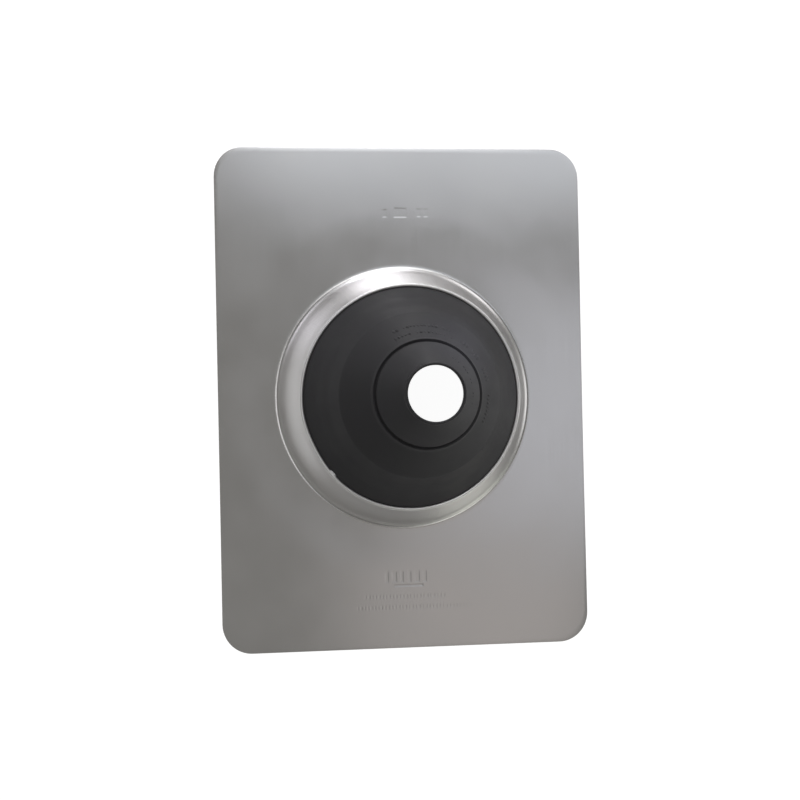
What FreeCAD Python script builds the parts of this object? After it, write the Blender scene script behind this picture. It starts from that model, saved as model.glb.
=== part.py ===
import FreeCAD, Part
import math
import os

# Pipe flashing boot: a pressed aluminium base sheet whose hemmed riser grips the rim of a
# moulded rubber collar. The collar stretches over a vent pipe and sheds water on to the sheet.
# Sizes are in millimetres and degrees. The origin is the middle of the sheet's underside,
# +Z runs up along the pipe and +Y up the roof.

# Base sheet
plate_width = 279.4
plate_length = 371.5
plate_corner_radius = 22.2
sheet_thickness = 0.8

# Riser drawn up out of the sheet
riser_foot_radius = 95.0
riser_height = 22.2
riser_slope = 63.5
foot_bend_radius = 5.0

# Hem folded inwards and down at the riser's top, over the collar's rim
hem_leg_length = 5.0
grip_clearance = 0.1

# Collar: rim in the hem, skirt, shoulder and sloping band. Each rise is measured from the
# feature below it.
rim_thickness = 1.2
rim_turn_thickness = 1.8
collar_wall = 2.3
skirt_rise = 27.0
skirt_hollow = 2.8
skirt_curve_radius = 100.0
skirt_root_rounding = 4.0
shoulder_radius = 60.5
shoulder_rounding = 1.6
band_rise = 19.3
inside_rounding = 1.0

# Tear groove, where the top of the collar is cut off to take the larger pipe, and the
# raised edge on its outer side
groove_radius = 39.3
groove_width = 2.2
groove_floor_width = 1.2
groove_depth = 1.3
groove_rounding = 0.2
groove_edge_height = 0.5
groove_edge_width = 2.2

# Cone above the groove, and the lip round the pipe's bore
cone_rise = 18.1
bore_radius = 20.25
lip_wall = 2.6
lip_rise = 3.4
lip_foot_rounding = 1.5
throat_length = 4.0

FULL_TURN = 360.0
SHORTEST_EDGE = 1e-6


def plan_point(across, along):
    """Point of a plan outline, on the roof plane."""
    return FreeCAD.Vector(across, along, 0)


def section_point(radius, height):
    """Point of a section outline, in the plane that is turned round the pipe's axis."""
    return FreeCAD.Vector(radius, 0, height)


def rounded_wire(corners, place):
    """Closed outline through corners of (first, second, rounding), each rounded by an arc.

    Two roundings that would meet on a short side share it in proportion."""
    points = [place(first, second) for first, second, rounding in corners]
    count = len(points)
    half_angles = []
    reaches = []
    for index in range(count):
        backward = points[index - 1] - points[index]
        forward = points[(index + 1) % count] - points[index]
        half_angle = backward.getAngle(forward) / 2
        half_angles.append(half_angle)
        reaches.append(corners[index][2] / math.tan(half_angle))
    shares = []
    for index in range(count):
        following = (index + 1) % count
        side = (points[following] - points[index]).Length
        wanted = reaches[index] + reaches[following]
        shares.append(min(1.0, side / wanted) if wanted > 0 else 1.0)
    edges = []
    ends = []
    for index in range(count):
        reach = reaches[index] * min(shares[index - 1], shares[index])
        backward = (points[index - 1] - points[index]).normalize()
        forward = (points[(index + 1) % count] - points[index]).normalize()
        start = points[index] + backward * reach
        end = points[index] + forward * reach
        ends.append((start, end))
        if reach > 0:
            bisector = (backward + forward).normalize()
            radius = reach * math.tan(half_angles[index])
            sagitta_point = radius / math.sin(half_angles[index]) - radius
            edges.append(Part.Arc(start, points[index] + bisector * sagitta_point, end).toShape())
    for index in range(count):
        start = ends[index][1]
        end = ends[(index + 1) % count][0]
        if (end - start).Length > SHORTEST_EDGE:
            edges.append(Part.LineSegment(start, end).toShape())
    return Part.Wire(Part.__sortEdges__(edges))


def turned_solid(corners):
    """Solid of revolution round the pipe's axis."""
    face = Part.Face(rounded_wire(corners, section_point))
    return face.revolve(FreeCAD.Vector(0, 0, 0), FreeCAD.Vector(0, 0, 1), FULL_TURN)


def climb(start, end):
    """Unit direction up a wall, from start to end."""
    length = math.hypot(end[0] - start[0], end[1] - start[1])
    return (end[0] - start[0]) / length, (end[1] - start[1]) / length


def inward(direction):
    """Unit direction through a wall to its inner side, for the direction up it."""
    return -direction[1], direction[0]


def shifted(point, direction, way):
    """Point moved some way along a direction."""
    return point[0] + way * direction[0], point[1] + way * direction[1]


def inner_corner(before, corner, after, wall):
    """Corner of a wall's inner face, below the corner of its outer face."""
    first = inward(climb(before, corner))
    second = inward(climb(corner, after))
    stretch = wall / (1 + first[0] * second[0] + first[1] * second[1])
    return shifted(shifted(corner, first, stretch), second, stretch)


slope = math.radians(riser_slope)
hem_radius = sheet_thickness + grip_clearance + rim_thickness / 2
hem_width = 2 * hem_radius
crest_way = (
    riser_height - sheet_thickness - hem_radius + hem_radius * math.cos(slope)
) / math.sin(slope)
leg_end_way = crest_way - hem_leg_length


def on_riser(way, depth):
    """Point some way up the riser's outer face and some depth inwards from it."""
    return (
        riser_foot_radius - way * math.cos(slope) - depth * math.sin(slope),
        sheet_thickness + way * math.sin(slope) - depth * math.cos(slope),
    )


def make_flashing_base():
    """Rounded sheet, with the riser drawn up and its top hemmed over the collar's rim."""
    half_width = plate_width / 2
    half_length = plate_length / 2
    outline = [
        (half_width, half_length, plate_corner_radius),
        (-half_width, half_length, plate_corner_radius),
        (-half_width, -half_length, plate_corner_radius),
        (half_width, -half_length, plate_corner_radius),
    ]
    blank = Part.Face(rounded_wire(outline, plan_point)).extrude(
        FreeCAD.Vector(0, 0, sheet_thickness)
    )
    join_radius = riser_foot_radius + foot_bend_radius
    blank = blank.cut(Part.makeCylinder(join_radius, sheet_thickness))

    inner_foot_way = -sheet_thickness * math.tan(slope / 2)
    inner_fold = hem_radius - sheet_thickness
    riser = turned_solid([
        (join_radius, sheet_thickness, 0),
        (*on_riser(0, 0), foot_bend_radius),
        (*on_riser(crest_way + hem_radius, 0), hem_radius),
        (*on_riser(crest_way + hem_radius, hem_width), hem_radius),
        (*on_riser(leg_end_way, hem_width), 0),
        (*on_riser(leg_end_way, hem_width - sheet_thickness), 0),
        (*on_riser(crest_way + inner_fold, hem_width - sheet_thickness), inner_fold),
        (*on_riser(crest_way + inner_fold, sheet_thickness), inner_fold),
        (*on_riser(inner_foot_way, sheet_thickness), foot_bend_radius + sheet_thickness),
        (join_radius, 0, 0),
    ])
    return blank.fuse(riser).removeSplitter()


def make_rubber_collar():
    """Moulded collar: its rim sits in the hem, turns round the hem's leg and climbs to the bore."""
    rim_depth = sheet_thickness + grip_clearance
    rim_rounding = rim_thickness / 2
    skirt_depth = hem_width + grip_clearance
    under_leg_way = leg_end_way - grip_clearance
    turn_way = under_leg_way - rim_turn_thickness
    turn_rounding = (skirt_depth + collar_wall - rim_depth) / 2

    shoulder_height = riser_height + skirt_rise
    groove_height = shoulder_height + band_rise
    lip_foot_height = groove_height + cone_rise
    top_height = lip_foot_height + lip_rise
    throat_height = top_height - lip_wall / 2 - throat_length

    under_leg = on_riser(under_leg_way, skirt_depth)
    root = on_riser(crest_way, skirt_depth)
    shoulder = (shoulder_radius, shoulder_height)
    groove = (groove_radius, groove_height)
    lip_foot = (bore_radius + lip_wall, lip_foot_height)
    chord_middle = ((root[0] + shoulder[0]) / 2, (root[1] + shoulder[1]) / 2)
    knee = shifted(chord_middle, inward(climb(root, shoulder)), skirt_hollow)

    up_band = climb(shoulder, groove)
    up_cone = climb(groove, lip_foot)
    groove_edge_foot = shifted(groove, up_band, -groove_width / 2 - groove_edge_width)
    groove_mouth_below = shifted(groove, up_band, -groove_width / 2)
    groove_edge = shifted(groove_mouth_below, inward(up_band), -groove_edge_height)
    groove_mouth_above = shifted(groove, up_cone, groove_width / 2)
    groove_floor = inner_corner(shoulder, groove, lip_foot, groove_depth)
    groove_floor_below = shifted(groove_floor, up_band, -groove_floor_width / 2)
    groove_floor_above = shifted(groove_floor, up_cone, groove_floor_width / 2)

    root_inside = inner_corner(under_leg, root, knee, collar_wall)
    knee_inside = inner_corner(root, knee, shoulder, collar_wall)
    shoulder_inside = inner_corner(knee, shoulder, groove, collar_wall)
    groove_inside = inner_corner(shoulder, groove, lip_foot, collar_wall)
    under_lip_way = (throat_height - groove_inside[1]) / up_cone[1]
    under_lip = shifted(groove_inside, up_cone, under_lip_way)

    return turned_solid([
        (*on_riser(crest_way + rim_rounding, rim_depth), rim_rounding),
        (*on_riser(crest_way + rim_rounding, rim_depth + rim_thickness), rim_rounding),
        (*on_riser(under_leg_way, rim_depth + rim_thickness), 0),
        (*under_leg, 0),
        (*root, skirt_root_rounding),
        (*knee, skirt_curve_radius),
        (*shoulder, shoulder_rounding),
        (*groove_edge_foot, 0),
        (*groove_edge, groove_rounding),
        (*groove_floor_below, groove_rounding),
        (*groove_floor_above, groove_rounding),
        (*groove_mouth_above, groove_rounding),
        (*lip_foot, lip_foot_rounding),
        (lip_foot[0], top_height, lip_wall / 2),
        (bore_radius, top_height, lip_wall / 2),
        (bore_radius, throat_height, 0),
        (*under_lip, 0),
        (*groove_inside, inside_rounding),
        (*shoulder_inside, inside_rounding),
        (*knee_inside, skirt_curve_radius + collar_wall),
        (*root_inside, inside_rounding),
        (*on_riser(turn_way, skirt_depth + collar_wall), turn_rounding),
        (*on_riser(turn_way, rim_depth), turn_rounding),
    ])


nodes = {
    "flashing_base": make_flashing_base(),
    "rubber_collar": make_rubber_collar(),
}

os.makedirs("parts", exist_ok=True)
for name, shape in nodes.items():
    shape.exportStep(f"parts/{name}.step")
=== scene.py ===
import math

import bmesh
import bpy
import numpy as np
from mathutils import Euler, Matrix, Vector


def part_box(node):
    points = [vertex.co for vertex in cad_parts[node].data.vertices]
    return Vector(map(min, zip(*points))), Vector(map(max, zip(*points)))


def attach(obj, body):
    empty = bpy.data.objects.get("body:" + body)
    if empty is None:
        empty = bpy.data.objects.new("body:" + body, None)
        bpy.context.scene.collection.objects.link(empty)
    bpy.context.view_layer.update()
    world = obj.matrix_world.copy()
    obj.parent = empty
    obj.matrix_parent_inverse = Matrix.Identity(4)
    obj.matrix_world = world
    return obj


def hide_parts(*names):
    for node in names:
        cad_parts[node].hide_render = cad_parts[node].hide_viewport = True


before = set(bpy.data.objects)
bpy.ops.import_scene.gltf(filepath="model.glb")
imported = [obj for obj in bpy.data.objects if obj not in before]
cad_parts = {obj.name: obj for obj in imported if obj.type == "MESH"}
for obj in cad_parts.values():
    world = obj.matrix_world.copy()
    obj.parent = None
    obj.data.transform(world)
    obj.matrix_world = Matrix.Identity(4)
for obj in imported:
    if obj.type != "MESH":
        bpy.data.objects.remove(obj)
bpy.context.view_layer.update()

# Flashing base
# One blank of rolled aluminium sheet, sheared to a round-cornered plate and pressed. The
# middle is drawn up into a riser, and its top is hemmed inwards over the collar's rim.
base_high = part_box("flashing_base")[1]
sheet_thickness = 0.0008
plate_corner_radius = 0.0222
sheared_edge_rounding = 0.0002
sheared_edge_band = 0.001

riser_foot_radius = 0.095
riser_slope = math.radians(63.5)
foot_bend_radius = 0.004
plate_start_radius = riser_foot_radius + 0.005
hem_leg_length = 0.005
grip_clearance = 0.0001
rim_thickness = 0.0012
hem_radius = sheet_thickness + grip_clearance + rim_thickness / 2
hem_width = 2 * hem_radius
crest_way = (
    base_high.z - sheet_thickness - hem_radius + hem_radius * math.cos(riser_slope)
) / math.sin(riser_slope)
leg_end_way = crest_way - hem_leg_length

base_columns = 640
arc_step = math.radians(9)
fewest_arc_steps = 3
shortest_run = 1e-7
longest_plate_run = 0.002
sharp_edge_angle = math.radians(50)


def on_riser(way, depth):
    """Section point some way up the riser's outer face and some depth inwards from it."""
    return (
        riser_foot_radius - way * math.cos(riser_slope) - depth * math.sin(riser_slope),
        sheet_thickness + way * math.sin(riser_slope) - depth * math.cos(riser_slope),
    )


def section_points(corners, longest_run):
    """Points round a closed section through corners of (radius, height, rounding)."""
    points = []
    for index, (radius, height, rounding) in enumerate(corners):
        corner = np.array((radius, height))
        back = np.array(corners[index - 1][:2]) - corner
        ahead = np.array(corners[(index + 1) % len(corners)][:2]) - corner
        back /= np.linalg.norm(back)
        ahead /= np.linalg.norm(ahead)
        if rounding == 0:
            points.append(corner)
            continue
        half_angle = math.acos(np.clip(back @ ahead, -1, 1)) / 2
        turn = math.pi - 2 * half_angle
        middle = (back + ahead) / np.linalg.norm(back + ahead)
        centre = corner + middle * rounding / math.sin(half_angle)
        reach = rounding / math.tan(half_angle)
        first = corner + back * reach - centre
        last = corner + ahead * reach - centre
        steps = max(fewest_arc_steps, math.ceil(turn / arc_step))
        for step in range(steps + 1):
            share = step / steps
            first_part = math.sin((1 - share) * turn) * first
            last_part = math.sin(share * turn) * last
            points.append(centre + (first_part + last_part) / math.sin(turn))
    filled = []
    for index, point in enumerate(points):
        run = points[(index + 1) % len(points)] - point
        length = np.linalg.norm(run)
        if length < shortest_run:
            continue
        pieces = max(1, math.ceil(length / longest_run))
        filled.extend(point + run * piece / pieces for piece in range(pieces))
    return np.array(filled)


def turned_mesh(name, radii, heights, angles):
    """Closed mesh from section rings: radii and heights have a row for each ring."""
    rings, columns = radii.shape
    x = radii * np.cos(angles)
    y = radii * np.sin(angles)
    vertices = np.stack([x, y, heights], axis=-1).reshape(-1, 3)
    ring = np.arange(rings)[:, None] * columns
    next_ring = np.roll(ring, -1, axis=0)
    column = np.arange(columns)[None, :]
    next_column = np.roll(column, -1, axis=1)
    faces = np.stack([
        ring + column, ring + next_column, next_ring + next_column, next_ring + column,
    ], axis=-1).reshape(-1, 4)
    mesh = bpy.data.meshes.new(name)
    mesh.from_pydata(vertices.tolist(), [], faces.tolist())
    shell = bmesh.new()
    shell.from_mesh(mesh)
    bmesh.ops.recalc_face_normals(shell, faces=shell.faces)
    shell.to_mesh(mesh)
    shell.free()
    mesh.shade_smooth()
    piece = bpy.data.objects.new(name, mesh)
    bpy.context.scene.collection.objects.link(piece)
    return piece


def ease(value, start, end):
    """Smooth step from 0 at start to 1 at end."""
    share = np.clip((value - start) / (end - start), 0, 1)
    return share * share * (3 - 2 * share)


def bump_at(angles, middle_degrees, half_width_degrees):
    """Smooth bump round the axis, 1 at its middle and 0 past its half width."""
    away = np.degrees(np.angle(np.exp(1j * (angles - math.radians(middle_degrees)))))
    return 0.5 + 0.5 * np.cos(math.pi * np.clip(away / half_width_degrees, -1, 1))


rim_inset = 0.0008
rim_off_centre = 0.00075
rim_off_centre_turn = 0.4
rim_oval = 0.0003
rim_knock = 0.001
knock_middle_degrees = 208
knock_half_width_degrees = 24


def rim_dent(angles):
    """How far the hem, and the collar in it, stand inwards of a true circle, round the ring."""
    off_centre = -rim_off_centre * np.cos(angles + rim_off_centre_turn)
    oval = -rim_oval * np.sin(2 * angles)
    knock = rim_knock * bump_at(angles, knock_middle_degrees, knock_half_width_degrees)
    return rim_inset + off_centre + oval + knock


outline_radius = base_high.x
inner_foot_way = -sheet_thickness * math.tan(riser_slope / 2)
inner_fold = hem_radius - sheet_thickness
base_section = section_points([
    (outline_radius, sheet_thickness, sheared_edge_rounding),
    (*on_riser(0, 0), foot_bend_radius),
    (*on_riser(crest_way + hem_radius, 0), hem_radius),
    (*on_riser(crest_way + hem_radius, hem_width), hem_radius),
    (*on_riser(leg_end_way, hem_width), 0),
    (*on_riser(leg_end_way, hem_width - sheet_thickness), 0),
    (*on_riser(crest_way + inner_fold, hem_width - sheet_thickness), inner_fold),
    (*on_riser(crest_way + inner_fold, sheet_thickness), inner_fold),
    (*on_riser(inner_foot_way, sheet_thickness), foot_bend_radius + sheet_thickness),
    (outline_radius, 0, sheared_edge_rounding),
], longest_plate_run)

base_angles = np.linspace(0, 2 * math.pi, base_columns, endpoint=False)
across = np.abs(np.cos(base_angles))
along = np.abs(np.sin(base_angles))
smallest_divisor = 1e-9
side_reach = np.minimum(
    base_high.x / np.maximum(across, smallest_divisor),
    base_high.y / np.maximum(along, smallest_divisor),
)
corner_x = base_high.x - plate_corner_radius
corner_y = base_high.y - plate_corner_radius
towards = across * corner_x + along * corner_y
inside_root = towards**2 - corner_x**2 - corner_y**2 + plate_corner_radius**2
corner_reach = towards + np.sqrt(np.maximum(inside_root, 0))
in_corner = (side_reach * across > corner_x) & (side_reach * along > corner_y)
outline_reach = np.where(in_corner, corner_reach, side_reach)

section_radii = base_section[:, 0][:, None]
section_heights = base_section[:, 1][:, None]
band_radius = outline_radius - sheared_edge_band
plate_share = np.clip(
    (section_radii - plate_start_radius) / (band_radius - plate_start_radius), 0, 1
)
edge_part = np.maximum(section_radii - band_radius, 0)
base_radii = (
    np.minimum(section_radii, plate_start_radius)
    + plate_share * (outline_reach - sheared_edge_band - plate_start_radius)
    + edge_part
)

# The sheet isn't quite flat: away from the riser it lifts by up to 0.9 mm in two crossing waves.
lift_unit = 0.00022
short_wave_x = 0.034
short_wave_y = 0.047
long_wave_x = 0.061
long_wave_y = 0.052
lift_fade_width = 0.04
plate_x = base_radii * np.cos(base_angles)
plate_y = base_radii * np.sin(base_angles)
short_waves = np.sin(plate_x / short_wave_x + 0.6) * np.cos(plate_y / short_wave_y + 0.4)
long_waves = np.sin(plate_x / long_wave_x - plate_y / long_wave_y + 1.9)
sheet_lift = lift_unit * (2 + short_waves + long_waves)
lift_fade = ease(base_radii, plate_start_radius, plate_start_radius + lift_fade_width)
base_heights = section_heights + lift_fade * sheet_lift

# Flaws of the pressing: the hem is knocked in at one side, a burr of it stands over the
# rubber, and the foot bend has a small kink below the burr.
dent_start_height = 0.006
burr_reach = 0.0016
burr_middle_degrees = 223
burr_half_width_degrees = 2.6
burr_foot_height = 0.0185
burr_full_height = 0.0205
kink_reach = 0.0006
kink_middle_degrees = 226
kink_half_width_degrees = 5
kink_plate_share = 0.05
on_ring = section_radii < plate_start_radius
hem_share = on_ring * ease(section_heights, dent_start_height, base_high.z - hem_radius)
base_radii = base_radii - hem_share * rim_dent(base_angles)
crest_radius = on_riser(crest_way, hem_radius)[0]
inner_fold_radius = on_riser(crest_way, hem_width)[0]
on_inner_fold = on_ring * ease(-section_radii, -crest_radius, -inner_fold_radius)
burr_height_share = ease(section_heights, burr_foot_height, burr_full_height)
burr = bump_at(base_angles, burr_middle_degrees, burr_half_width_degrees) ** 0.5
base_radii = base_radii - burr_reach * on_inner_fold * burr_height_share * burr
kink = kink_reach * bump_at(base_angles, kink_middle_degrees, kink_half_width_degrees)
base_radii = base_radii + kink * plate_share * (plate_share < kink_plate_share)

flashing_base = turned_mesh("flashing_base_sheet", base_radii, base_heights, base_angles)
flashing_base.data.set_sharp_from_angle(angle=sharp_edge_angle)


def linear_colour(hex_code):
    """Linear colour with full alpha, from an sRGB hex code."""
    channels = [int(hex_code[first:first + 2], 16) / 255 for first in (1, 3, 5)]
    linear = [c / 12.92 if c <= 0.04045 else ((c + 0.055) / 1.055) ** 2.4 for c in channels]
    return (*linear, 1.0)


def add_node(tree, kind, inputs=None, **settings):
    """Adds a node with its settings. Each input is a value, or a socket to link from."""
    node = tree.nodes.new(kind)
    for name, value in settings.items():
        setattr(node, name, value)
    for name, value in (inputs or {}).items():
        if isinstance(value, bpy.types.NodeSocket):
            tree.links.new(value, node.inputs[name])
        else:
            node.inputs[name].default_value = value
    return node


def empty_material(name):
    """Material with its tree and a principled shader on the output."""
    material = bpy.data.materials.new(name)
    material.use_nodes = True
    tree = material.node_tree
    tree.nodes.clear()
    shader = tree.nodes.new("ShaderNodeBsdfPrincipled")
    add_node(tree, "ShaderNodeOutputMaterial", {"Surface": shader.outputs[0]})
    return material, tree, shader


# Mill-finish aluminium: a dulled grey metal with faint rolling lines along the sheet,
# drawing lines up the riser, and cloudy oxide that changes its gloss a little.
mill_aluminium, tree, shader = empty_material("mill_finish_aluminium")
shader.inputs["Metallic"].default_value = 1.0
place = add_node(tree, "ShaderNodeTexCoord").outputs["Object"]
axes = add_node(tree, "ShaderNodeSeparateXYZ", {0: place}).outputs
flat_place = add_node(tree, "ShaderNodeCombineXYZ", {0: axes[0], 1: axes[1]}).outputs[0]
radius = add_node(tree, "ShaderNodeVectorMath", {0: flat_place}, operation="LENGTH").outputs["Value"]
angle = add_node(tree, "ShaderNodeMath", {0: axes[1], 1: axes[0]}, operation="ARCTAN2").outputs[0]
rolling_lines_end = 0.099
drawing_lines_start = 0.094
on_riser_mask = add_node(tree, "ShaderNodeMapRange", {
    "Value": radius, "From Min": rolling_lines_end, "From Max": drawing_lines_start,
}).outputs[0]

rolling_pitch = 0.0006
rolling_length = 0.08
rolling_place = add_node(tree, "ShaderNodeMapping", {
    "Vector": place, "Scale": (1 / rolling_pitch, 1 / rolling_length, 1),
}).outputs[0]
rolling_lines = add_node(tree, "ShaderNodeTexNoise", {
    "Vector": rolling_place, "Scale": 1.0, "Detail": 3.0,
}).outputs[0]
drawing_pitch_degrees = 0.5
drawing_length = 1 / 30
around = add_node(tree, "ShaderNodeMath", {
    0: angle, 1: 1 / math.radians(drawing_pitch_degrees),
}, operation="MULTIPLY").outputs[0]
up_the_riser = add_node(tree, "ShaderNodeMath", {
    0: axes[2], 1: 1 / drawing_length,
}, operation="MULTIPLY").outputs[0]
drawing_place = add_node(tree, "ShaderNodeCombineXYZ", {0: around, 1: up_the_riser}).outputs[0]
drawing_lines = add_node(tree, "ShaderNodeTexNoise", {
    "Vector": drawing_place, "Scale": 1.0, "Detail": 3.0,
}).outputs[0]
lines = add_node(tree, "ShaderNodeMix", {
    0: on_riser_mask, 2: rolling_lines, 3: drawing_lines,
}).outputs[0]
cloud_size = 0.05
clouds = add_node(tree, "ShaderNodeTexNoise", {
    "Vector": place, "Scale": 1 / cloud_size, "Detail": 4.0, "Roughness": 0.6,
}).outputs[0]

# The clouds and lines change the roughness a little, and drawing left the riser much duller.
noise_low = 0.3
noise_high = 0.7
line_roughness = 0.012
clear_roughness = 0.15
cloudy_roughness = 0.19
scuff_start_radius = 0.0985
scuff_full_radius = 0.094
scuff_roughness = 0.24
line_part = add_node(tree, "ShaderNodeMapRange", {
    "Value": lines, "From Min": noise_low, "From Max": noise_high,
    "To Min": -line_roughness, "To Max": line_roughness,
}).outputs[0]
cloud_part = add_node(tree, "ShaderNodeMapRange", {
    "Value": clouds, "From Min": noise_low, "From Max": noise_high,
    "To Min": clear_roughness, "To Max": cloudy_roughness,
}).outputs[0]
scuff_part = add_node(tree, "ShaderNodeMapRange", {
    "Value": radius, "From Min": scuff_start_radius, "From Max": scuff_full_radius,
    "To Max": scuff_roughness,
}).outputs[0]
sheet_part = add_node(tree, "ShaderNodeMath", {
    0: line_part, 1: cloud_part,
}, operation="ADD").outputs[0]
roughness = add_node(tree, "ShaderNodeMath", {
    0: sheet_part, 1: scuff_part,
}, operation="ADD").outputs[0]
tree.links.new(roughness, shader.inputs["Roughness"])
metal_colour = add_node(tree, "ShaderNodeMix", {
    0: clouds, 6: linear_colour("#E4E3E3"), 7: linear_colour("#ECEBEB"),
}, data_type="RGBA").outputs[2]
tree.links.new(metal_colour, shader.inputs["Base Color"])
line_height = 0.00012
rolling_line_share = 0.006
line_depth = add_node(tree, "ShaderNodeMapRange", {
    "Value": on_riser_mask, "To Min": rolling_line_share, "To Max": 1.0,
}).outputs[0]
line_bump = add_node(tree, "ShaderNodeBump", {
    "Height": lines, "Strength": line_depth, "Distance": line_height,
}).outputs[0]

# Stamped marks: rows of small plain shapes pressed into the plate, on the riser's +Y and -Y sides.
stamp_edge = 0.0012
stamp_height = 0.00012
stamp_rows = [
    # middle of the row, count, pitch, width, height, depth, share of the width that varies
    ((-0.0116, 0.1370), 1, 0.0040, 0.0030, 0.0055, 0.45, 0.0),
    ((0.0005, 0.1375), 1, 0.0120, 0.0095, 0.0068, 0.60, 0.0),
    ((0.0175, 0.1375), 2, 0.0055, 0.0032, 0.0058, 0.50, 0.0),
    ((-0.0010, -0.1330), 6, 0.0058, 0.0036, 0.0078, 0.55, 0.5),
    ((0.0010, -0.1395), 1, 0.0260, 0.0220, 0.0014, 1.00, 0.0),
    ((-0.0020, -0.1475), 24, 0.0026, 0.0019, 0.0026, 0.35, 0.8),
    ((0.0050, -0.1555), 34, 0.0026, 0.0019, 0.0026, 0.35, 0.8),
]


def pressed_marks(tree, axes, centre, count, pitch, width, height, depth, unevenness):
    """Socket that is depth inside a row of marks pressed into the plate, and 0 outside."""
    from_middle = add_node(tree, "ShaderNodeMath", {
        0: axes[0], 1: centre[0],
    }, operation="SUBTRACT").outputs[0]
    row_place = add_node(tree, "ShaderNodeMath", {
        0: from_middle, 1: 1 / pitch, 2: count / 2,
    }, operation="MULTIPLY_ADD").outputs[0]
    cell = add_node(tree, "ShaderNodeMath", {0: row_place}, operation="FLOOR").outputs[0]
    chance = add_node(tree, "ShaderNodeTexWhiteNoise", {"W": cell}, noise_dimensions="1D").outputs[0]
    in_cell = add_node(tree, "ShaderNodeMath", {0: row_place}, operation="FRACT").outputs[0]
    off_cell = add_node(tree, "ShaderNodeMath", {0: in_cell, 1: 0.5}, operation="SUBTRACT").outputs[0]
    off_cell = add_node(tree, "ShaderNodeMath", {0: off_cell}, operation="ABSOLUTE").outputs[0]
    off_mark = add_node(tree, "ShaderNodeMath", {
        0: off_cell, 1: pitch,
    }, operation="MULTIPLY").outputs[0]
    half_width = add_node(tree, "ShaderNodeMath", {
        0: chance, 1: -unevenness * width / 2, 2: width / 2,
    }, operation="MULTIPLY_ADD").outputs[0]
    past_side = add_node(tree, "ShaderNodeMath", {
        0: off_mark, 1: half_width,
    }, operation="SUBTRACT").outputs[0]
    off_row = add_node(tree, "ShaderNodeMath", {
        0: axes[1], 1: centre[1],
    }, operation="SUBTRACT").outputs[0]
    off_row = add_node(tree, "ShaderNodeMath", {0: off_row}, operation="ABSOLUTE").outputs[0]
    past_end = add_node(tree, "ShaderNodeMath", {
        0: off_row, 1: height / 2,
    }, operation="SUBTRACT").outputs[0]
    off_middle = add_node(tree, "ShaderNodeMath", {0: from_middle}, operation="ABSOLUTE").outputs[0]
    past_row = add_node(tree, "ShaderNodeMath", {
        0: off_middle, 1: count * pitch / 2,
    }, operation="SUBTRACT").outputs[0]
    past = add_node(tree, "ShaderNodeMath", {0: past_side, 1: past_end}, operation="MAXIMUM").outputs[0]
    past = add_node(tree, "ShaderNodeMath", {0: past, 1: past_row}, operation="MAXIMUM").outputs[0]
    return add_node(tree, "ShaderNodeMapRange", {
        "Value": past, "From Min": stamp_edge / 2, "From Max": -stamp_edge / 2, "To Max": depth,
    }, interpolation_type="SMOOTHSTEP").outputs[0]


stamps = 0.0
for stamp_row in stamp_rows:
    stamps = add_node(tree, "ShaderNodeMath", {
        0: stamps, 1: pressed_marks(tree, axes, *stamp_row),
    }, operation="MAXIMUM").outputs[0]
stamp_bump = add_node(tree, "ShaderNodeBump", {
    "Height": stamps, "Strength": 0.5, "Distance": stamp_height, "Normal": line_bump,
}, invert=True).outputs[0]
tree.links.new(stamp_bump, shader.inputs["Normal"])
flashing_base.data.materials.append(mill_aluminium)
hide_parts("flashing_base")
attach(flashing_base, "root")

# Rubber collar
# One moulding of black synthetic rubber. Its rim is turned up inside the hem, and it climbs
# as a skirt, a shoulder and a cone to the lip that stretches round the pipe.
collar_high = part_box("rubber_collar")[1]
rim_turn_thickness = 0.0018
collar_wall = 0.0023
inside_rounding = 0.001

lap_foot_way = 0.0004
lap_crown_way = 0.0009
lap_width = 0.0005
lap_foot_rounding = 0.0001
lap_rounding = 0.0002
root_swell = 0.0026
root_overhang = 0.0003
skirt_root_rounding = 0.001
skirt_rise = 0.027
skirt_hollow = 0.0028
skirt_curve_radius = 0.1
shoulder_radius = 0.0605
shoulder_rounding = 0.005

band_rise = 0.0193
groove_radius = 0.0393
groove_width = 0.0027
groove_floor_width = 0.0015
groove_depth = 0.0016
groove_rounding = 0.0002
groove_edge_height = 0.0005
groove_edge_width = 0.0022
groove_edge_rounding = 0.001

cone_rise = 0.0181
bore_radius = 0.02025
lip_wall = 0.0026
lip_foot_rounding = 0.0015
throat_length = 0.004
throat_flare = 0.001
throat_rounding = 0.0003

shoulder = (shoulder_radius, base_high.z + skirt_rise)
groove = (groove_radius, shoulder[1] + band_rise)
lip_foot = (bore_radius + lip_wall, groove[1] + cone_rise)
throat_height = collar_high.z - lip_wall / 2 - throat_length
collar_columns = 384
longest_collar_run = 0.0025


def climb(start, end):
    """Unit direction up a wall, from start to end."""
    length = math.dist(start, end)
    return (end[0] - start[0]) / length, (end[1] - start[1]) / length


def inward(direction):
    """Unit direction through a wall to its inner side, for the direction up it."""
    return -direction[1], direction[0]


def shifted(point, direction, way):
    """Point moved some way along a direction."""
    return point[0] + way * direction[0], point[1] + way * direction[1]


def inner_corner(before, corner, after, wall):
    """Corner of a wall's inner face, below the corner of its outer face."""
    first = inward(climb(before, corner))
    second = inward(climb(corner, after))
    stretch = wall / (1 + first[0] * second[0] + first[1] * second[1])
    return shifted(shifted(corner, first, stretch), second, stretch)


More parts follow.
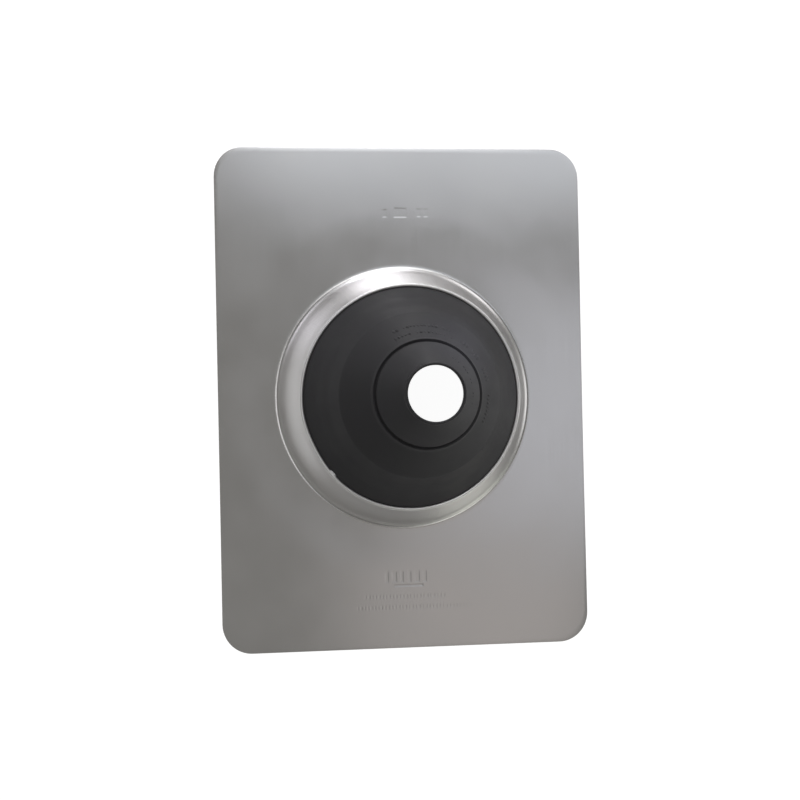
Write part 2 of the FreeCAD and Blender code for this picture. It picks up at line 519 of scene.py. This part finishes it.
rim_depth = sheet_thickness + grip_clearance
skirt_depth = hem_width + grip_clearance
under_leg_way = leg_end_way - grip_clearance
turn_way = under_leg_way - rim_turn_thickness
turn_rounding = (skirt_depth + collar_wall - rim_depth) / 2
under_leg = on_riser(under_leg_way, skirt_depth)
lap_foot = on_riser(crest_way + lap_foot_way, skirt_depth)
lap_crown = on_riser(crest_way + lap_crown_way, skirt_depth - lap_width)
root = on_riser(crest_way + root_swell, skirt_depth - root_overhang)
chord_middle = ((root[0] + shoulder[0]) / 2, (root[1] + shoulder[1]) / 2)
knee = shifted(chord_middle, inward(climb(root, shoulder)), skirt_hollow)
up_band = climb(shoulder, groove)
up_cone = climb(groove, lip_foot)
groove_edge_foot = shifted(groove, up_band, -groove_width / 2 - groove_edge_width)
groove_mouth_below = shifted(groove, up_band, -groove_width / 2)
groove_edge = shifted(groove_mouth_below, inward(up_band), -groove_edge_height)
groove_mouth_above = shifted(groove, up_cone, groove_width / 2)
groove_floor = inner_corner(shoulder, groove, lip_foot, groove_depth)
groove_floor_below = shifted(groove_floor, up_band, -groove_floor_width / 2)
groove_floor_above = shifted(groove_floor, up_cone, groove_floor_width / 2)
root_inside = inner_corner(under_leg, root, knee, collar_wall)
knee_inside = inner_corner(root, knee, shoulder, collar_wall)
shoulder_inside = inner_corner(knee, shoulder, groove, collar_wall)
groove_inside = inner_corner(shoulder, groove, lip_foot, collar_wall)
under_lip_way = (throat_height - groove_inside[1]) / up_cone[1]

collar_section = section_points([
    (*on_riser(crest_way + rim_thickness / 2, rim_depth), rim_thickness / 2),
    (*on_riser(crest_way + rim_thickness / 2, rim_depth + rim_thickness), rim_thickness / 2),
    (*on_riser(under_leg_way, rim_depth + rim_thickness), 0),
    (*under_leg, 0),
    (*lap_foot, lap_foot_rounding),
    (*lap_crown, lap_rounding),
    (*root, skirt_root_rounding),
    (*knee, skirt_curve_radius),
    (*shoulder, shoulder_rounding),
    (*groove_edge_foot, groove_edge_rounding),
    (*groove_edge, groove_rounding),
    (*groove_floor_below, groove_rounding),
    (*groove_floor_above, groove_rounding),
    (*groove_mouth_above, groove_rounding),
    (*lip_foot, lip_foot_rounding),
    (lip_foot[0], collar_high.z, lip_wall / 2),
    (bore_radius, collar_high.z, lip_wall / 2),
    (bore_radius + throat_flare, throat_height, throat_rounding),
    (*shifted(groove_inside, up_cone, under_lip_way), throat_rounding),
    (*groove_inside, inside_rounding),
    (*shoulder_inside, inside_rounding),
    (*knee_inside, skirt_curve_radius + collar_wall),
    (*root_inside, inside_rounding),
    (*on_riser(turn_way, skirt_depth + collar_wall), turn_rounding),
    (*on_riser(turn_way, rim_depth), turn_rounding),
], longest_collar_run)

collar_angles = np.linspace(0, 2 * math.pi, collar_columns, endpoint=False)
collar_heights = np.repeat(collar_section[:, 1:], collar_columns, axis=1)
collar_radii = np.repeat(collar_section[:, :1], collar_columns, axis=1)
rim_dent_fade = 0.015
rim_share = 1 - ease(collar_heights, base_high.z - hem_radius, base_high.z + rim_dent_fade)
collar_radii = collar_radii - rim_share * rim_dent(collar_angles)

rubber_collar = turned_mesh("rubber_collar_moulding", collar_radii, collar_heights, collar_angles)

# Moulded synthetic rubber: near-black with a dull sheen, a fine spark-eroded grain from the
# mould, a faint pale bloom in patches, and a painted highlight on the band's lit rear right side.
bloom_size = 0.022
grain_size = 0.0007
grain_height = 0.00005
moulded_rubber, tree, shader = empty_material("moulded_synthetic_rubber")
shader.inputs["Specular IOR Level"].default_value = 0.41
place = add_node(tree, "ShaderNodeTexCoord").outputs["Object"]
bloom = add_node(tree, "ShaderNodeTexNoise", {
    "Vector": place, "Scale": 1 / bloom_size, "Detail": 5.0, "Roughness": 0.6,
}).outputs[0]
rubber_colour = add_node(tree, "ShaderNodeMix", {
    0: bloom, 6: linear_colour("#2D2D2E"), 7: linear_colour("#333236"),
}, data_type="RGBA").outputs[2]
# A paler, bluer patch is painted on the rear right side of the band, where the light falls on it. It is
# a painted highlight and fades out round there.
lit_patch_middle = (0.031, 0.037, 0.068)
lit_patch_reach = 0.042
lit_patch_core = 0.010
strongest_painted_highlight = 0.8
from_lit_patch_middle = add_node(tree, "ShaderNodeVectorMath", {
    0: place, 1: lit_patch_middle,
}, operation="DISTANCE").outputs["Value"]
painted_highlight_share = add_node(tree, "ShaderNodeMapRange", {
    "Value": from_lit_patch_middle, "From Min": lit_patch_reach, "From Max": lit_patch_core,
    "To Max": strongest_painted_highlight,
}).outputs[0]
# The painted highlight is mixed over the rubber colour here.
rubber_with_painted_highlight = add_node(tree, "ShaderNodeMix", {
    0: painted_highlight_share, 6: rubber_colour, 7: linear_colour("#46464D"),
}, data_type="RGBA").outputs[2]
tree.links.new(rubber_with_painted_highlight, shader.inputs["Base Color"])
rubber_roughness = add_node(tree, "ShaderNodeMapRange", {
    "Value": bloom, "From Min": noise_low, "From Max": noise_high, "To Min": 0.5, "To Max": 0.6,
}).outputs[0]
tree.links.new(rubber_roughness, shader.inputs["Roughness"])
grain = add_node(tree, "ShaderNodeTexNoise", {
    "Vector": place, "Scale": 1 / grain_size, "Detail": 2.0,
}).outputs[0]
grain_bump = add_node(tree, "ShaderNodeBump", {
    "Height": grain, "Strength": 0.3, "Distance": grain_height,
}).outputs[0]
tree.links.new(grain_bump, shader.inputs["Normal"])
rubber_collar.data.materials.append(moulded_rubber)

# The mould leaves raised marks: small rounded bars in rows round the band and near the bore.
marks_tree = bpy.data.node_groups.new("raised_mark_row", "GeometryNodeTree")
marks_tree.interface.new_socket("Geometry", in_out="OUTPUT", socket_type="NodeSocketGeometry")
mark_inputs = {
    "Marks": "NodeSocketInt", "First Angle": "NodeSocketFloat", "Pitch Angle": "NodeSocketFloat",
    "Radius": "NodeSocketFloat", "Height": "NodeSocketFloat", "Wall Slope": "NodeSocketFloat",
    "Shortest Mark": "NodeSocketVector", "Longest Mark": "NodeSocketVector",
    "Share Kept": "NodeSocketFloat", "Seed": "NodeSocketInt", "Material": "NodeSocketMaterial",
}
mark_identifiers = {
    name: marks_tree.interface.new_socket(name, in_out="INPUT", socket_type=kind).identifier
    for name, kind in mark_inputs.items()
}
row = add_node(marks_tree, "NodeGroupInput").outputs
index = add_node(marks_tree, "GeometryNodeInputIndex").outputs[0]
mark_angle = add_node(marks_tree, "ShaderNodeMath", {
    0: index, 1: row["Pitch Angle"], 2: row["First Angle"],
}, operation="MULTIPLY_ADD").outputs[0]
cosine = add_node(marks_tree, "ShaderNodeMath", {0: mark_angle}, operation="COSINE").outputs[0]
sine = add_node(marks_tree, "ShaderNodeMath", {0: mark_angle}, operation="SINE").outputs[0]
mark_x = add_node(marks_tree, "ShaderNodeMath", {
    0: cosine, 1: row["Radius"],
}, operation="MULTIPLY").outputs[0]
mark_y = add_node(marks_tree, "ShaderNodeMath", {
    0: sine, 1: row["Radius"],
}, operation="MULTIPLY").outputs[0]
mark_place = add_node(marks_tree, "ShaderNodeCombineXYZ", {
    0: mark_x, 1: mark_y, 2: row["Height"],
}).outputs[0]
mark_turn = add_node(marks_tree, "ShaderNodeCombineXYZ", {
    1: row["Wall Slope"], 2: mark_angle,
}).outputs[0]
points = add_node(marks_tree, "GeometryNodePoints", {
    "Count": row["Marks"], "Position": mark_place,
}).outputs[0]
kept = add_node(marks_tree, "FunctionNodeRandomValue", {
    "Probability": row["Share Kept"], "ID": index, "Seed": row["Seed"],
}, data_type="BOOLEAN").outputs[3]
mark_size = add_node(marks_tree, "FunctionNodeRandomValue", {
    0: row["Shortest Mark"], 1: row["Longest Mark"], "ID": index, "Seed": row["Seed"],
}, data_type="FLOAT_VECTOR").outputs[0]
ball = add_node(marks_tree, "GeometryNodeMeshUVSphere", {
    "Segments": 10, "Rings": 6, "Radius": 0.5,
}).outputs[0]
placed_marks = add_node(marks_tree, "GeometryNodeInstanceOnPoints", {
    "Points": points, "Selection": kept, "Instance": ball,
    "Rotation": mark_turn, "Scale": mark_size,
}).outputs[0]
plain_marks = add_node(marks_tree, "GeometryNodeRealizeInstances", {
    "Geometry": placed_marks,
}).outputs[0]
smooth_marks = add_node(marks_tree, "GeometryNodeSetShadeSmooth", {
    "Geometry": plain_marks,
}).outputs[0]
finished_marks = add_node(marks_tree, "GeometryNodeSetMaterial", {
    "Geometry": smooth_marks, "Material": row["Material"],
}).outputs[0]
add_node(marks_tree, "NodeGroupOutput", {0: finished_marks})


def wall_height(radius, low, high):
    """Height of a straight wall between two section corners, at a radius."""
    return low[1] + (high[1] - low[1]) * (low[0] - radius) / (low[0] - high[0])


band = (shoulder, groove, math.atan2(up_band[1], -up_band[0]))
cone = (groove, lip_foot, math.atan2(up_cone[1], -up_cone[0]))
mark_sink = 0.0006
mark_rows = [
    # wall, radius, from and to degrees, count, shortest and longest mark, share kept
    (band, 0.0508, 118, 66, 18, (0.0020, 0.0018, 0.0016), (0.0046, 0.0036, 0.0022), 0.85),
    (band, 0.0458, 118, 64, 16, (0.0020, 0.0018, 0.0016), (0.0042, 0.0036, 0.0022), 0.85),
    (band, 0.0480, 58, 12, 14, (0.0034, 0.0018, 0.0016), (0.0090, 0.0034, 0.0022), 0.85),
    (band, 0.0480, 2, -25, 9, (0.0034, 0.0018, 0.0016), (0.0090, 0.0034, 0.0022), 0.9),
    (cone, 0.0310, 58, -14, 16, (0.0018, 0.0016, 0.0016), (0.0042, 0.0028, 0.0020), 0.7),
]
collar_with_marks = bmesh.new()
collar_with_marks.from_mesh(rubber_collar.data)
for seed, (wall, radius, start, end, count, least, most, share) in enumerate(mark_rows):
    low, high, slope = wall
    row_object = bpy.data.objects.new("mark_row", bpy.data.meshes.new("mark_row"))
    bpy.context.scene.collection.objects.link(row_object)
    modifier = row_object.modifiers.new("marks", "NODES")
    modifier.node_group = marks_tree
    row_values = {
        "Marks": count, "First Angle": math.radians(start),
        "Pitch Angle": math.radians(end - start) / (count - 1),
        "Radius": radius - mark_sink * math.sin(slope),
        "Height": wall_height(radius, low, high) - mark_sink * math.cos(slope),
        "Wall Slope": slope, "Shortest Mark": least, "Longest Mark": most, "Share Kept": share,
        "Seed": seed, "Material": moulded_rubber,
    }
    for value_name, value in row_values.items():
        modifier[mark_identifiers[value_name]] = value
    evaluated = row_object.evaluated_get(bpy.context.evaluated_depsgraph_get())
    row_mesh = bpy.data.meshes.new_from_object(evaluated)
    collar_with_marks.from_mesh(row_mesh)
    bpy.data.objects.remove(row_object)
for face in collar_with_marks.faces:
    face.material_index = 0

# The soft cone leans a little, and its mouth is not quite round.
lean_start_height = base_high.z + 0.008
cone_lean_x = 0.0016
cone_lean_y = 0.0003
mouth_squeeze = 0.018
for vertex in collar_with_marks.verts:
    share = ease(vertex.co.z, lean_start_height, collar_high.z)
    vertex.co.x += cone_lean_x * share
    vertex.co.y += cone_lean_y * share - mouth_squeeze * share * vertex.co.y
collar_with_marks.to_mesh(rubber_collar.data)
collar_with_marks.free()
rubber_collar.data.set_sharp_from_angle(angle=sharp_edge_angle)
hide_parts("rubber_collar")
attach(rubber_collar, "root")

# Floor, lamps and camera
# A plain white table under soft studio boxes, seen from above and a little to the left.
floor_size = 30.0
floor_glow = 0.95
floor_mesh = bpy.data.meshes.new("studio_floor")
half_floor = floor_size / 2
floor_mesh.from_pydata(
    [(-half_floor, -half_floor, 0), (half_floor, -half_floor, 0),
     (half_floor, half_floor, 0), (-half_floor, half_floor, 0)],
    [], [(0, 1, 2, 3)],
)
studio_floor = bpy.data.objects.new("studio_floor", floor_mesh)
bpy.context.scene.collection.objects.link(studio_floor)

# White table paint: a matt grey that glows to the camera and in mirrors, so that it shows there
# as plain white, and lights the object only as the grey would.
floor_paint, tree, shader = empty_material("white_table_paint")
shader.inputs["Base Color"].default_value = linear_colour("#8C8C8C")
shader.inputs["Roughness"].default_value = 0.8
shader.inputs["Emission Color"].default_value = (1, 1, 1, 1)
rays = add_node(tree, "ShaderNodeLightPath").outputs
seen = add_node(tree, "ShaderNodeMath", {
    0: rays["Is Camera Ray"], 1: rays["Is Glossy Ray"],
}, operation="ADD").outputs[0]
seen = add_node(tree, "ShaderNodeMath", {
    0: seen, 1: rays["Is Transmission Ray"],
}, operation="ADD").outputs[0]
glow = add_node(tree, "ShaderNodeMath", {0: seen, 1: floor_glow}, operation="MULTIPLY").outputs[0]
tree.links.new(glow, shader.inputs["Emission Strength"])
studio_floor.data.materials.append(floor_paint)

# The room gives a dim light that changes with height: a grey ceiling and paler walls, dark
# between them and down at the table. Each stop is degrees down from straight above, and brightness.
room_stops = [(0, 0.20), (30, 0.20), (45, 0.02), (60, 0.20), (75, 0.34), (90, 0.02)]
horizon_degrees = 90
world = bpy.data.worlds.new("studio_room")
bpy.context.scene.world = world
world.use_nodes = True
tree = world.node_tree
tree.nodes.clear()
ray = add_node(tree, "ShaderNodeTexCoord").outputs["Generated"]
upward = add_node(tree, "ShaderNodeSeparateXYZ", {0: ray}).outputs[2]
from_top = add_node(tree, "ShaderNodeMath", {0: upward}, operation="ARCCOSINE").outputs[0]
share_down = add_node(tree, "ShaderNodeMath", {
    0: from_top, 1: 1 / math.radians(horizon_degrees),
}, operation="MULTIPLY").outputs[0]
room_levels = add_node(tree, "ShaderNodeValToRGB", {0: share_down})
steps = room_levels.color_ramp.elements
while len(steps) < len(room_stops):
    steps.new(1.0)
for stop, (degrees_down, level) in enumerate(room_stops):
    steps[stop].position = degrees_down / horizon_degrees
    steps[stop].color = (level, level, level, 1.0)
room = add_node(tree, "ShaderNodeBackground", {
    "Color": linear_colour("#FFFDF7"), "Strength": room_levels.outputs[0],
}).outputs[0]
add_node(tree, "ShaderNodeOutputWorld", {"Surface": room})


def area_lamp(name, size_x, size_y, brightness, colour):
    """Rectangular lamp that the camera doesn't see. A brightness of 1 is plain white."""
    lamp = bpy.data.lights.new(name, "AREA")
    lamp.shape = "RECTANGLE"
    lamp.size = size_x
    lamp.size_y = size_y
    lamp.energy = math.pi * size_x * size_y * brightness
    lamp.color = linear_colour(colour)[:3]
    lamp_object = bpy.data.objects.new(name, lamp)
    lamp_object.visible_camera = False
    bpy.context.scene.collection.objects.link(lamp_object)
    return lamp_object


# Square boxes round and above the table, all aimed at the origin.
soft_box_distance = 2.0
soft_box_size = 0.8
soft_boxes = [
    # name, degrees round from +X, degrees down from straight above, brightness, colour
    ("rear_window", 88, 80, 4.5, "#FDFCFF"),
    ("rear_right_window", 45, 80, 1.5, "#FFFEFF"),
    ("rear_high_box", 90, 62, 1.0, "#F9F7FF"),
    ("rear_higher_box", 75, 42, 1.8, "#FFFFFF"),
    ("rear_top_box", 75, 30, 1.1, "#FFFFFF"),
    ("right_window", 0, 80, 1.1, "#FFFFFF"),
    ("rear_left_box", 135, 80, 1.0, "#F7F5FF"),
    ("front_right_high_box", 315, 45, 0.95, "#FEFFF6"),
    ("front_right_low_box", 315, 80, 0.65, "#FBFFF2"),
]
for name, round_from_x, down_from_top, brightness, colour in soft_boxes:
    soft_box = area_lamp(name, soft_box_size, soft_box_size, brightness, colour)
    turn = Euler((0, math.radians(down_from_top), math.radians(round_from_x)))
    soft_box.location = turn.to_matrix() @ Vector((0, 0, soft_box_distance))
    soft_box.rotation_euler = turn

# Flat panels under the ceiling. The plate mirrors the three on the right as soft patches, and
# the left one brightens the left side of the foot bend.
ceiling_height = 2.0
ceiling_panels = [
    # name, place in x and y, size in x and y, brightness, colour
    ("ceiling_panel_rear", 0.78, 0.63, 1.15, 0.55, 0.53, "#EFF5FF"),
    ("ceiling_panel_right", 0.81, 0.03, 0.58, 0.31, 0.40, "#F0F3FF"),
    ("ceiling_panel_front", 0.63, -0.33, 0.35, 0.35, 0.22, "#FFF3EF"),
    ("ceiling_panel_left", -0.75, -0.20, 0.90, 1.40, 0.80, "#FFFFFF"),
]
for name, panel_x, panel_y, size_x, size_y, brightness, colour in ceiling_panels:
    ceiling_panel = area_lamp(name, size_x, size_y, brightness, colour)
    ceiling_panel.location = (panel_x, panel_y, ceiling_height)

camera_data = bpy.data.cameras.new("view_camera")
camera_data.lens = 114.83
camera_data.sensor_width = 36
camera = bpy.data.objects.new("view_camera", camera_data)
view_turn = Euler((math.radians(1.60), math.radians(-14.19), math.radians(-1.25)))
view_aim = Vector((-0.00255, -0.00195, sheet_thickness))
view_distance = 1.8963
camera.rotation_euler = view_turn
camera.location = view_aim + view_turn.to_matrix() @ Vector((0, 0, view_distance))
bpy.context.scene.collection.objects.link(camera)
bpy.context.scene.camera = camera
bpy.context.scene.view_settings.view_transform = "Standard"
